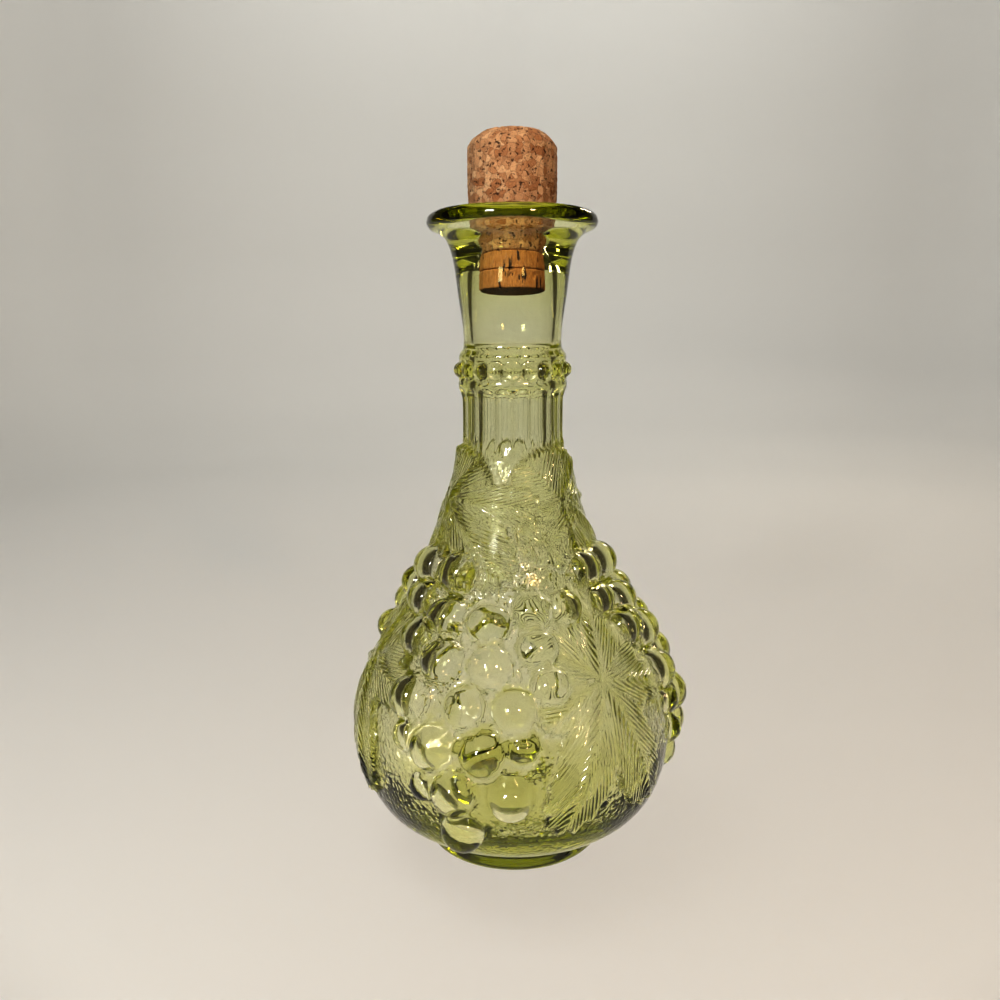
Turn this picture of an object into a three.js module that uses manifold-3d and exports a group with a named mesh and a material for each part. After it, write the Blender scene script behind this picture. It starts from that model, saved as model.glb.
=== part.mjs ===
// A pressed-glass decanter with grape clusters and vine leaves in relief, and the cork that stops it.
// Millimetres, +Z up. The origin is the centre of the foot's underside, and the front faces -Y.
import * as THREE from "three";
import { mergeVertices } from "three/addons/utils/BufferGeometryUtils.js";
import Module from "manifold-3d";

// Driving dimensions: the foot and the base
const FOOT_RADIUS = 31.2;
const FOOT_HEIGHT = 6.6;
const FOOT_ROUND = 1.6;
const FOOT_TAPER = 0.4;
const BASE_THICKNESS = 11.5;

// Driving dimensions: the belly and the shoulder
const WAIST_RADIUS = 32.6;
const WAIST_HEIGHT = 7.2;
const BELLY_RADIUS = 55.0;
const BELLY_HEIGHT = 41.0;
const SHOULDER_RADIUS = 32.6;
const SHOULDER_HEIGHT = 92.0;
const BELLY_WALL = 5.0;

// Driving dimensions: the neck, the collar and the lip
const NECK_ROOT_RADIUS = 17.5;
const NECK_ROOT_HEIGHT = 139.0;
const NECK_RADIUS = 16.9;
const COLLAR_LOW = 160.0;
const COLLAR_HEIGHT = 166.0;
const COLLAR_TOP = 172.4;
const COLLAR_RADIUS = 18.8;
const COLLAR_BAND = 3.0;
const COLLAR_FILLET = 0.8;
const COLLAR_CUFF = 1.8;
const THROAT_RADIUS = 16.2;
const LIP_RADIUS = 28.0;
const LIP_HEIGHT = 213.9;
const LIP_TOP = 217.0;
const LIP_CROWN = 0.7;
const BORE_RADIUS = 11.3;
const BORE_LOW = 148.0;
const BORE_FLARE = 0.8;
const MOUTH_RADIUS = 21.5;

// Driving dimensions: beads and flutes
const BEAD_COUNT = 20;
const BEAD_RADIUS = 2.8;
const BEAD_CENTRE = 17.1;
const FLUTE_COUNT = 18;
const FLUTE_DEPTH = 0.9;
const FLUTE_RIDGE = 0.4;
const FLUTE_LOW = 138.0;
const FLUTE_HIGH = 160.5;
const NECK_CORE_LOW = 143.0;
const NECK_CORE_HIGH = 158.5;

// Driving dimensions: the cork, an agglomerated body on two discs of natural cork
const CORK_TOP = 241.6;
const CORK_RADIUS = 14.75;
const CORK_CHAMFER = 5.2;
const CORK_CHAMFER_DROP = 4.6;
const CORK_HEAD_LOW = 217.5;
const CORK_BULGE_HEIGHT = 226.0;
const CORK_PINCH = 0.45;
const CORK_TOP_DRAW = 0.15;
const CORK_SHANK_RADIUS = 10.95;
const DISC_THICKNESS = 6.3;
const DISC_LOW = 192.6;
const DISC_ROUND = 0.8;
const DISC_EDGE = 0.1;
const GLUE_GAP = 0.3;

// The curved outlines, each by the few points that it passes through, as radius and height
const BODY_CURVE = [
  [WAIST_RADIUS, WAIST_HEIGHT],
  [0.79 * BELLY_RADIUS, 0.32 * BELLY_HEIGHT],
  [0.945 * BELLY_RADIUS, 0.595 * BELLY_HEIGHT],
  [BELLY_RADIUS, BELLY_HEIGHT],
  [0.955 * BELLY_RADIUS, 1.38 * BELLY_HEIGHT],
  [0.78 * BELLY_RADIUS, 1.86 * BELLY_HEIGHT],
  [SHOULDER_RADIUS, SHOULDER_HEIGHT],
  [25.4, 110],
  [20.4, 126],
  [NECK_ROOT_RADIUS, NECK_ROOT_HEIGHT],
];
const LIP_CURVE = [
  [THROAT_RADIUS, COLLAR_TOP + COLLAR_CUFF],
  [18.1, 191],
  [19.4, 200.8],
  [20.6, 205.4],
  [23.4, 210.4],
  [27.0, 212.0],
  [LIP_RADIUS, LIP_HEIGHT],
  [26.6, LIP_TOP - LIP_CROWN],
  [MOUTH_RADIUS, LIP_TOP],
];
const HOLLOW_CURVE = [
  [29, BASE_THICKNESS + 0.8],
  [0.87 * (BELLY_RADIUS - BELLY_WALL), 0.5 * BELLY_HEIGHT],
  [BELLY_RADIUS - BELLY_WALL, BELLY_HEIGHT + 1],
  [45.6, 61],
  [36.8, 76],
  [SHOULDER_RADIUS - BELLY_WALL, SHOULDER_HEIGHT],
  [20.2, 110],
  [14.8, 126],
  [BORE_RADIUS + BORE_FLARE, NECK_ROOT_HEIGHT],
];
const MOUTH_FLARE = [
  [BORE_RADIUS, 205],
  [12.6, 208.6],
  [16.2, 212.6],
  [MOUTH_RADIUS, LIP_TOP],
];
const CORK_TAPER = [
  [11.05, 207.6],
  [12.2, 210.4],
  [13.7, 213.4],
];

// How finely the round forms are divided
const OUTER_SIDES = 40;
const INNER_SIDES = 32;
const CORK_SIDES = 32;
const BODY_RINGS = 15;
const LIP_RINGS = 11;
const HOLLOW_RINGS = 12;
const GRAPE_SIDES = 8;
const BEAD_SIDES = 6;
const FLUTE_POINTS = 4;
const BODY_LINE_STEPS = 60;
const SMALLEST_STEP = 0.05;
const SAME_POINT = 1e-4;
const CUT_CLEARANCE = 2;

// Relief: each cluster's grapes in rows, by height, grape radius, lift above the body and turns in degrees.
// The swell makes up for the flat facets of a round grape.
const GRAPE_ROWS = [
  { height: 101, radius: 6.9, lift: 1.0, turns: [-50, -21] },
  { height: 91, radius: 6.3, lift: 1.0, turns: [-45, 25, 42] },
  { height: 87.5, radius: 7.0, lift: 1.5, turns: [-20, 3] },
  { height: 81, radius: 6.5, lift: 1.2, turns: [-33, 25] },
  { height: 76, radius: 7.0, lift: 1.6, turns: [-15, 6] },
  { height: 71, radius: 6.2, lift: 1.4, turns: [29] },
  { height: 65, radius: 6.8, lift: 1.4, turns: [-25, -2, 15] },
  { height: 53, radius: 7.1, lift: 1.4, turns: [-12, 5] },
  { height: 54.5, radius: 5.2, lift: 0.2, turns: [-23, 18] },
  { height: 40, radius: 6.6, lift: 1.2, turns: [-4, 14] },
  { height: 40.5, radius: 4.6, lift: 0.2, turns: [-15] },
  { height: 27.5, radius: 6.6, lift: 0.8, turns: [-2] },
];
const GRAPE_SWELL = 1.05;

// The clusters and their leaves go round the body: each grape cluster, and the large leaf beside it.
const CLUSTER_TURNS = [-15, 99, 222];
const LEAF_TURNS = [35, 150, 284];

// Leaves: points round the blade, where its veins meet, its lift, and each lobe's direction and length.
const LARGE_LEAF = {
  spokes: 30,
  height: 70.5,
  lift: 3.0,
  lobes: [
    { direction: -113, length: 51 },
    { direction: -70, length: 48 },
    { direction: -14, length: 34 },
    { direction: 81, length: 38 },
    { direction: 145, length: 19 },
    { direction: -153, length: 27 },
  ],
};
const UPPER_LEAF = {
  spokes: 26,
  turn: -105,
  height: 124,
  lift: 2.2,
  lobes: [
    { direction: -4, length: 36 },
    { direction: -38, length: 44 },
    { direction: -84, length: 30 },
    { direction: -150, length: 22 },
    { direction: 50, length: 16 },
  ],
};
const SMALL_LEAF = {
  spokes: 16,
  turn: -16,
  height: 112,
  lift: 2.2,
  lobes: [
    { direction: 20, length: 18 },
    { direction: -50, length: 13 },
    { direction: 110, length: 9 },
  ],
};
const LOBE_SPREAD = 32;
const LEAF_HEART = 0.42;
const LEAF_ROOT_DEPTH = 2.5;
const LEAF_RINGS = [0, 0.36, 0.7, 1];

const wasm = await Module();
wasm.setup();

const degrees = THREE.MathUtils.degToRad;

/** A point of an outline, as its distance from the axis and its height. */
function at(radius, height) {
  return new THREE.Vector2(radius, height);
}

/** The curve through a few points, sampled evenly. */
function curveThrough(points, samples) {
  return new THREE.SplineCurve(points.map(([radius, height]) => at(radius, height))).getSpacedPoints(samples);
}

/** The whole outside, from the flat underside to the top of the lip. */
function outerOutline() {
  return [
    at(0, 0),
    at(FOOT_RADIUS - FOOT_ROUND, 0),
    at(FOOT_RADIUS, FOOT_ROUND),
    at(FOOT_RADIUS, FOOT_HEIGHT - FOOT_ROUND),
    at(FOOT_RADIUS - FOOT_TAPER, FOOT_HEIGHT),
    ...curveThrough(BODY_CURVE, BODY_RINGS),
    at(NECK_RADIUS - FLUTE_DEPTH, NECK_CORE_LOW),
    at(NECK_RADIUS - FLUTE_DEPTH, NECK_CORE_HIGH),
    at(NECK_RADIUS + COLLAR_FILLET, COLLAR_LOW),
    at(COLLAR_RADIUS, COLLAR_HEIGHT - COLLAR_BAND),
    at(COLLAR_RADIUS, COLLAR_HEIGHT + COLLAR_BAND),
    at(THROAT_RADIUS + COLLAR_FILLET, COLLAR_TOP),
    ...curveThrough(LIP_CURVE, LIP_RINGS),
    at(0, LIP_TOP),
  ];
}

/** The hollow, from the thick base to above the mouth. */
function hollowOutline() {
  return [
    at(0, BASE_THICKNESS),
    ...curveThrough(HOLLOW_CURVE, HOLLOW_RINGS),
    at(BORE_RADIUS, BORE_LOW),
    ...MOUTH_FLARE.map(([radius, height]) => at(radius, height)),
    at(MOUTH_RADIUS, LIP_TOP + CUT_CLEARANCE),
    at(0, LIP_TOP + CUT_CLEARANCE),
  ];
}

const BODY_LINE = curveThrough(BODY_CURVE, BODY_LINE_STEPS);

/** The body's place at a distance measured along its outline from a height: its radius and height. */
function alongBody(height, distance) {
  const above = BODY_LINE.findIndex((point) => point.y >= height);
  const rise = BODY_LINE[above].y - BODY_LINE[above - 1].y;
  const start = above - (BODY_LINE[above].y - height) / rise;
  const step = BODY_LINE[1].distanceTo(BODY_LINE[0]);
  const index = THREE.MathUtils.clamp(start + distance / step, 0, BODY_LINE.length - 1.001);
  const low = Math.floor(index);
  return BODY_LINE[low].clone().lerp(BODY_LINE[low + 1], index - low);
}

/** A point beside the axis: turned from the front, at a radius and a height. */
function around(turn, radius, height) {
  return new THREE.Vector3(radius * Math.sin(turn), -radius * Math.cos(turn), height);
}

/** A geometry as a solid that can be joined and cut. */
function solidFrom(geometry) {
  const bare = geometry.clone();
  bare.deleteAttribute("normal");
  bare.deleteAttribute("uv");
  const merged = mergeVertices(bare, SAME_POINT);
  return new wasm.Manifold(
    new wasm.Mesh({
      numProp: 3,
      vertProperties: merged.attributes.position.array,
      triVerts: new Uint32Array(merged.index.array),
    }),
  );
}

/** The largest body of a joined solid, without the slivers and sealed pockets that joining leaves. */
function cleaned(solid) {
  const bodies = solid.asOriginal().simplify(SMALLEST_STEP).decompose();
  return bodies.reduce((largest, body) => (body.volume() > largest.volume() ? body : largest));
}

/** A joined and cut solid as a geometry again. */
function geometryFrom(solid) {
  const mesh = solid.getMesh();
  const geometry = new THREE.BufferGeometry();
  geometry.setAttribute("position", new THREE.BufferAttribute(mesh.vertProperties, 3));
  geometry.setIndex(new THREE.BufferAttribute(mesh.triVerts, 1));
  geometry.computeVertexNormals();
  return geometry;
}

/** A turned form about the Z axis from its outline, listed from the bottom to the top. */
function turned(outline, sides) {
  return new THREE.LatheGeometry(outline, sides).rotateX(Math.PI / 2);
}

/** A round bump: a sphere with one pole facing away from the axis. */
function ball(radius, sides, turn, centre) {
  const sphere = new THREE.SphereGeometry(radius, sides, sides / 2);
  return sphere.rotateX(Math.PI).rotateZ(turn).translate(centre.x, centre.y, centre.z);
}

/** One grape of a cluster, half sunk in the body. */
function grape(row, turn) {
  const place = alongBody(row.height, 0);
  const centre = around(degrees(turn), place.x + row.lift, row.height);
  return ball(GRAPE_SWELL * row.radius, GRAPE_SIDES, degrees(turn), centre);
}

/** How far a leaf's blade reaches from the meeting of its veins, in a direction in degrees. */
function bladeReach(leaf, direction) {
  const reaches = leaf.lobes.map((lobe) => {
    const away = Math.abs(((direction - lobe.direction + 540) % 360) - 180);
    return lobe.length * Math.max(LEAF_HEART, 1 - Math.pow(away / LOBE_SPREAD, 2));
  });
  return Math.max(...reaches);
}

/** A leaf's blade as a thin plate laid over the body, its underside sunk in the glass. */
function leafBlade(leaf, turn) {
  const rings = [...LEAF_RINGS, 1, 0];
  const lifts = rings.map((_, ring) => (ring < LEAF_RINGS.length ? leaf.lift : -LEAF_ROOT_DEPTH));
  const blade = new THREE.SphereGeometry(1, leaf.spokes, rings.length - 1);
  const position = blade.attributes.position;
  for (let i = 0; i < position.count; i += 1) {
    const ring = Math.floor(i / (leaf.spokes + 1));
    const direction = -180 + (360 * (i % (leaf.spokes + 1))) / leaf.spokes;
    const reach = rings[ring] * bladeReach(leaf, direction);
    const place = alongBody(leaf.height, reach * Math.sin(degrees(direction)));
    const sideways = (reach * Math.cos(degrees(direction))) / place.x;
    const point = around(degrees(turn) + sideways, place.x + lifts[ring], place.y);
    position.setXYZ(i, point.x, point.y, point.z);
  }
  return blade;
}

/** One bead of the collar. */
function bead(index) {
  const turn = (2 * Math.PI * index) / BEAD_COUNT;
  const centre = around(turn, BEAD_CENTRE, COLLAR_HEIGHT);
  return ball(BEAD_RADIUS, BEAD_SIDES, turn, centre);
}

/** The lower neck between the shoulder and the collar, with scooped flutes round it. */
function flutedNeck() {
  const pitch = (2 * Math.PI) / FLUTE_COUNT;
  const rim = [];
  for (let i = 0; i < FLUTE_COUNT * FLUTE_POINTS; i += 1) {
    const scoop = FLUTE_DEPTH * Math.abs(Math.sin((Math.PI * i) / FLUTE_POINTS));
    const point = around((pitch * i) / FLUTE_POINTS, NECK_RADIUS + FLUTE_RIDGE - scoop, 0);
    rim.push(new THREE.Vector2(point.x, point.y));
  }
  const section = new THREE.Shape(rim);
  const neck = new THREE.ExtrudeGeometry(section, { depth: FLUTE_HIGH - FLUTE_LOW, bevelEnabled: false });
  return neck.translate(0, 0, FLUTE_LOW);
}

/** Every raised form of the belly and the shoulder. */
function reliefForms() {
  const forms = [];
  for (const clusterTurn of CLUSTER_TURNS) {
    for (const row of GRAPE_ROWS) {
      forms.push(...row.turns.map((turn) => grape(row, clusterTurn + turn)));
    }
  }
  for (const leafTurn of LEAF_TURNS) {
    forms.push(leafBlade(LARGE_LEAF, leafTurn));
    forms.push(leafBlade(UPPER_LEAF, leafTurn + UPPER_LEAF.turn));
    forms.push(leafBlade(SMALL_LEAF, leafTurn + SMALL_LEAF.turn));
  }
  return forms;
}

/** The glass, one hollow piece open at the mouth. */
function decanterGlass() {
  let glass = solidFrom(turned(outerOutline(), OUTER_SIDES));
  glass = glass.add(solidFrom(flutedNeck()));
  for (let i = 0; i < BEAD_COUNT; i += 1) {
    glass = glass.add(solidFrom(bead(i)));
  }
  for (const form of reliefForms()) {
    glass = glass.add(solidFrom(form));
  }
  const hollow = solidFrom(turned(hollowOutline(), INNER_SIDES));
  return geometryFrom(cleaned(cleaned(glass).subtract(hollow)));
}

/** The agglomerated cork: a chamfered head above the lip, and a shank in the mouth. */
function corkBody() {
  const low = DISC_LOW + 2 * DISC_THICKNESS;
  return turned(
    [
      at(0, low),
      at(CORK_SHANK_RADIUS, low),
      ...CORK_TAPER.map(([radius, height]) => at(radius, height)),
      at(CORK_RADIUS - CORK_PINCH, CORK_HEAD_LOW),
      at(CORK_RADIUS, CORK_BULGE_HEIGHT),
      at(CORK_RADIUS - CORK_TOP_DRAW, CORK_TOP - CORK_CHAMFER_DROP),
      at(CORK_RADIUS - CORK_CHAMFER, CORK_TOP),
      at(0, CORK_TOP),
    ],
    CORK_SIDES,
  );
}

/** One of the natural-cork discs glued under the shank, counted from the bottom. */
function corkDisc(index) {
  const low = DISC_LOW + index * DISC_THICKNESS;
  const high = low + DISC_THICKNESS - GLUE_GAP;
  const round = index === 0 ? DISC_ROUND : DISC_EDGE;
  return turned(
    [
      at(0, low),
      at(CORK_SHANK_RADIUS - round, low),
      at(CORK_SHANK_RADIUS, low + round),
      at(CORK_SHANK_RADIUS, high),
      at(0, high),
    ],
    CORK_SIDES,
  );
}

const oliveGlass = new THREE.MeshStandardMaterial({ color: 0xa9ab54, roughness: 0.05, metalness: 0 });
const agglomeratedCork = new THREE.MeshStandardMaterial({ color: 0xb4875a, roughness: 0.85, metalness: 0 });
const naturalCork = new THREE.MeshStandardMaterial({ color: 0xa8733c, roughness: 0.8, metalness: 0 });

/** A named piece of the object. */
function piece(name, geometry, material) {
  const mesh = new THREE.Mesh(geometry, material);
  mesh.name = name;
  return mesh;
}

const stopper = new THREE.Group();
stopper.add(piece("cork_body", corkBody(), agglomeratedCork));
stopper.add(piece("cork_disc_upper", corkDisc(1), naturalCork.clone()));
stopper.add(piece("cork_disc_lower", corkDisc(0), naturalCork));

const decanter = new THREE.Group();
decanter.add(piece("decanter_glass", decanterGlass(), oliveGlass));
decanter.add(stopper);

export default decanter;
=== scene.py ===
"""Looks of a pressed-glass decanter with grapes and vine leaves in relief, and of its cork stopper."""
import logging
import math
from collections.abc import Callable
from dataclasses import dataclass, field
from enum import Enum
from functools import partial
from typing import ClassVar

import bmesh
import bpy
import numpy as np
from mathutils import Matrix, Vector, noise


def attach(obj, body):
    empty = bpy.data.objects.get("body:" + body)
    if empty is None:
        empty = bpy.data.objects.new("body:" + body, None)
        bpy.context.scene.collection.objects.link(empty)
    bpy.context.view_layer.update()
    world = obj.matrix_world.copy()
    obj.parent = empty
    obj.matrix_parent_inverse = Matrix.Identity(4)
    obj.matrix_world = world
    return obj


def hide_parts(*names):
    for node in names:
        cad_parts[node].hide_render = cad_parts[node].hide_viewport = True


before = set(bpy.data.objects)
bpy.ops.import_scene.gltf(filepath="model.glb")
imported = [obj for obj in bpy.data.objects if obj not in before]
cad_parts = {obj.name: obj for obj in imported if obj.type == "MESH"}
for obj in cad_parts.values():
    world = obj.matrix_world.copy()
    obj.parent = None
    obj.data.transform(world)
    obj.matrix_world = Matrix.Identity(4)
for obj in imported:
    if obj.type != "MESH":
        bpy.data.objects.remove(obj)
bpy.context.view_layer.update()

log = logging.getLogger("decanter")

MM = 0.001
FULL_TURN = 2 * math.pi
RING_CUTS = 10
LEVEL = 1e-7
MERGE = 0.01 * MM
Inputs = dict[str | int, object]


class Wall(Enum):
    """The two faces of the glass."""

    OUTSIDE = 0
    INSIDE = 1


class CorkPiece(Enum):
    """The pieces of the stopper, by the node that each stands for."""

    HEAD = "cork_body"
    UPPER_DISC = "cork_disc_upper"
    LOWER_DISC = "cork_disc_lower"


def linear(colour: str) -> tuple[float, float, float, float]:
    """Turns an sRGB hex colour into linear RGBA.

    Args:
        colour: six hex digits, with or without a leading hash.

    Returns:
        Linear red, green, blue and an alpha of 1.
    """
    digits = colour.lstrip("#")
    shares = [int(digits[i:i + 2], 16) / 255 for i in (0, 2, 4)]
    red, green, blue = (s / 12.92 if s <= 0.04045 else ((s + 0.055) / 1.055) ** 2.4 for s in shares)
    return red, green, blue, 1.0


def add_node(tree: bpy.types.NodeTree, kind: str, inputs: Inputs | None = None,
             **settings: object) -> bpy.types.Node:
    """Adds a node with its settings, and links or sets its inputs.

    Args:
        tree: the tree that takes the node.
        kind: Blender's name of the node type.
        inputs: by name or number, a socket to link from or a value to set.
        **settings: the node's own properties.

    Returns:
        The new node.
    """
    node = tree.nodes.new(kind)
    for name, value in settings.items():
        setattr(node, name, value)
    for name, value in (inputs or {}).items():
        if isinstance(value, bpy.types.NodeSocket):
            tree.links.new(value, node.inputs[name])
        else:
            node.inputs[name].default_value = value
    return node


def blank_material(name: str) -> tuple[bpy.types.Material, Callable[..., bpy.types.Node]]:
    """Makes a material without nodes.

    Args:
        name: the material's name.

    Returns:
        The material, and the function that adds a node to it.
    """
    material = bpy.data.materials.new(name)
    material.use_nodes = True
    material.node_tree.nodes.clear()
    return material, partial(add_node, material.node_tree)


def smooth_step(share: np.ndarray) -> np.ndarray:
    """Eases a share from 0 to 1 with level ends."""
    held = np.clip(share, 0, 1)
    return held * held * (3 - 2 * held)


def soft_max(first: np.ndarray, second: np.ndarray, fillet: float) -> np.ndarray:
    """Takes the higher of two heights, with a small fillet where they meet.

    Args:
        first: one height.
        second: the other height.
        fillet: how far apart the heights are where the fillet ends.

    Returns:
        The joined height.
    """
    meeting = np.maximum(fillet - np.abs(first - second), 0)
    return np.maximum(first, second) + meeting * meeting / (4 * fillet)


def wrapped(angle: np.ndarray) -> np.ndarray:
    """Brings angles in radians to the half turn either side of zero."""
    return (angle + math.pi) % FULL_TURN - math.pi


def around(turn: np.ndarray, radius: np.ndarray, height: np.ndarray) -> np.ndarray:
    """Points beside the axis, turned from the front, which faces -Y."""
    return np.stack([radius * np.sin(turn), -radius * np.cos(turn), height], axis=-1)


class Outline:
    """A turned wall's outline: a smooth curve through a few points, walked by its length."""

    SAMPLES = 6000

    def __init__(self, points: tuple[tuple[float, float, float], ...]) -> None:
        """Draws the curve.

        Args:
            points: radius, height and the spacing of the rows there, in millimetres, in walking order.
        """
        knots = np.array(points, float)
        chords = np.hypot(np.diff(knots[:, 0]), np.diff(knots[:, 1]))
        run = np.concatenate([[0.0], np.cumsum(chords)])
        slope = self.slopes(knots, run)
        walk = np.linspace(0, run[-1], self.SAMPLES)
        low = np.clip(np.searchsorted(run, walk, side="right") - 1, 0, len(run) - 2)
        span = (run[low + 1] - run[low])[:, None]
        share = (walk - run[low])[:, None] / span
        square, cube = share ** 2, share ** 3
        curve = (2 * cube - 3 * square + 1) * knots[low] + (cube - 2 * square + share) * span * slope[low]
        curve += (3 * square - 2 * cube) * knots[low + 1] + (cube - square) * span * slope[low + 1]
        self.radius = np.maximum(curve[:, 0], 0)
        self.height = curve[:, 1]
        self.spacing = curve[:, 2]
        steps = np.hypot(np.diff(self.radius), np.diff(self.height))
        self.length = np.concatenate([[0.0], np.cumsum(steps)])

    @staticmethod
    def slopes(knots: np.ndarray, run: np.ndarray) -> np.ndarray:
        """Slopes that keep a curve from overshooting its points.

        Args:
            knots: the points.
            run: the distance walked at each point.

        Returns:
            The slope at each point, level where a value turns back.
        """
        gaps = np.diff(run)[:, None]
        rates = np.diff(knots, axis=0) / gaps
        before, after = rates[:-1], rates[1:]
        first, second = 2 * gaps[1:] + gaps[:-1], gaps[1:] + 2 * gaps[:-1]
        rising = before * after > 0
        safe_before, safe_after = np.where(rising, before, 1), np.where(rising, after, 1)
        inner = np.where(rising, (first + second) / (first / safe_before + second / safe_after), 0)
        return np.concatenate([rates[:1], inner, rates[-1:]])

    def rows(self) -> np.ndarray:
        """Finds where the rows of vertices lie.

        Returns:
            Their lengths from the outline's start, closer together where the points ask for it.
        """
        passed = np.cumsum(np.gradient(self.length) / self.spacing)
        count = round(passed[-1] - passed[0])
        return np.interp(np.linspace(passed[0], passed[-1], count + 1), passed, self.length)

    def place(self, length: np.ndarray) -> tuple[np.ndarray, np.ndarray, np.ndarray, np.ndarray]:
        """Finds the outline at some lengths.

        Args:
            length: lengths from the outline's start.

        Returns:
            Radius, height, and the outward normal's radial and upward shares.
        """
        radius = np.interp(length, self.length, self.radius)
        height = np.interp(length, self.length, self.height)
        outwards = np.interp(length, self.length, np.gradient(self.height, self.length))
        upwards = -np.interp(length, self.length, np.gradient(self.radius, self.length))
        size = np.hypot(outwards, upwards)
        return radius, height, outwards / size, upwards / size

    def length_at(self, height: float, lowest: float) -> float:
        """Finds the length where the rising outline passes a height.

        Args:
            height: the height to find.
            lowest: a height below which the outline isn't searched.

        Returns:
            The length from the outline's start.
        """
        rising = self.height > lowest
        start = int(np.argmax(rising))
        return float(np.interp(height, self.height[start:], self.length[start:]))


@dataclass(frozen=True)
class Boss:
    """A round raised form of the wall, such as a grape or a bead, in millimetres.

    foot: the middle of its base on the wall.
    axis: the way that it stands out.
    radius: the radius of its base.
    rise: its height above the wall.
    DEEPEST: how far along its axis it counts, in radii.
    """

    DEEPEST: ClassVar[float] = 3

    foot: tuple[float, float, float]
    axis: tuple[float, float, float]
    radius: float
    rise: float

    def away(self, points: np.ndarray) -> np.ndarray:
        """Finds how far points are from the boss's axis.

        Args:
            points: places by the wall.

        Returns:
            Each distance as a share of the radius, endless for points on the wall's far side.
        """
        offset = points - np.array(self.foot)
        along = offset @ np.array(self.axis)
        aside = np.sqrt(np.maximum((offset * offset).sum(-1) - along * along, 0))
        return np.where(np.abs(along) < self.DEEPEST * self.radius, aside / self.radius, np.inf)


@dataclass(frozen=True)
class Leaf:
    """A vine leaf laid over the wall, in millimetres and degrees.

    turn: where its veins meet, round from the front.
    height: the height where they meet.
    lift: the height of the blade above the wall.
    lobes: each lobe's direction and length.
    """

    turn: float
    height: float
    lift: float
    lobes: tuple[tuple[float, float], ...]


@dataclass(frozen=True)
class OliveGlass:
    """Soda-lime glass tinted olive with iron, pressed in a mould and fire-polished.

    It is clear and glossy. Thin walls look pale straw and thick glass deep green, because the tint is in
    the volume. Leaves keep the mould's fine barbs, and the ground between the motifs keeps its stipple.
    """

    ior: float = 1.51
    roughness: float = 0.015
    tint: str = "#eaec45"
    tint_density: float = 80.0
    barb_spacing: float = 1.13 * MM
    barb_rise: float = 0.09 * MM
    stipple_size: float = 1.3 * MM
    stipple_rise: float = 0.22 * MM

    def material(self) -> bpy.types.Material:
        """Makes the glass.

        Returns:
            The material, with its tint in the volume and its fine relief as bump.
        """
        glass, add = blank_material("pressed_olive_glass")
        coords = add("ShaderNodeTexCoord").outputs["Object"]
        leaf = add("ShaderNodeAttribute", attribute_name="leaf").outputs["Fac"]
        barb = add("ShaderNodeAttribute", attribute_name="barb").outputs["Fac"]
        ground = add("ShaderNodeAttribute", attribute_name="ground").outputs["Fac"]
        waves_per_mm = FULL_TURN * MM / self.barb_spacing
        phase = add("ShaderNodeMath", {0: barb, 1: waves_per_mm}, operation="MULTIPLY")
        wave = add("ShaderNodeMath", {0: phase.outputs[0]}, operation="SINE")
        barbs = add("ShaderNodeMath", {0: wave.outputs[0], 1: leaf}, operation="MULTIPLY")
        grains = add("ShaderNodeTexNoise", {"Vector": coords, "Scale": 1 / self.stipple_size, "Detail": 0.0})
        stipple = add("ShaderNodeMath", {0: grains.outputs["Fac"], 1: ground}, operation="MULTIPLY")
        share = self.stipple_rise / self.barb_rise
        height = add("ShaderNodeMath", {0: stipple.outputs[0], 1: share, 2: barbs.outputs[0]},
                     operation="MULTIPLY_ADD")
        bump = add("ShaderNodeBump", {"Height": height.outputs[0], "Distance": self.barb_rise})
        surface = add("ShaderNodeBsdfPrincipled", {
            "Base Color": (1, 1, 1, 1), "Roughness": self.roughness, "IOR": self.ior,
            "Transmission Weight": 1.0, "Normal": bump.outputs[0]})
        volume = add("ShaderNodeVolumeAbsorption", {
            "Color": linear(self.tint), "Density": self.tint_density})
        add("ShaderNodeOutputMaterial", {"Surface": surface.outputs[0], "Volume": volume.outputs[0]})
        return glass


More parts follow.
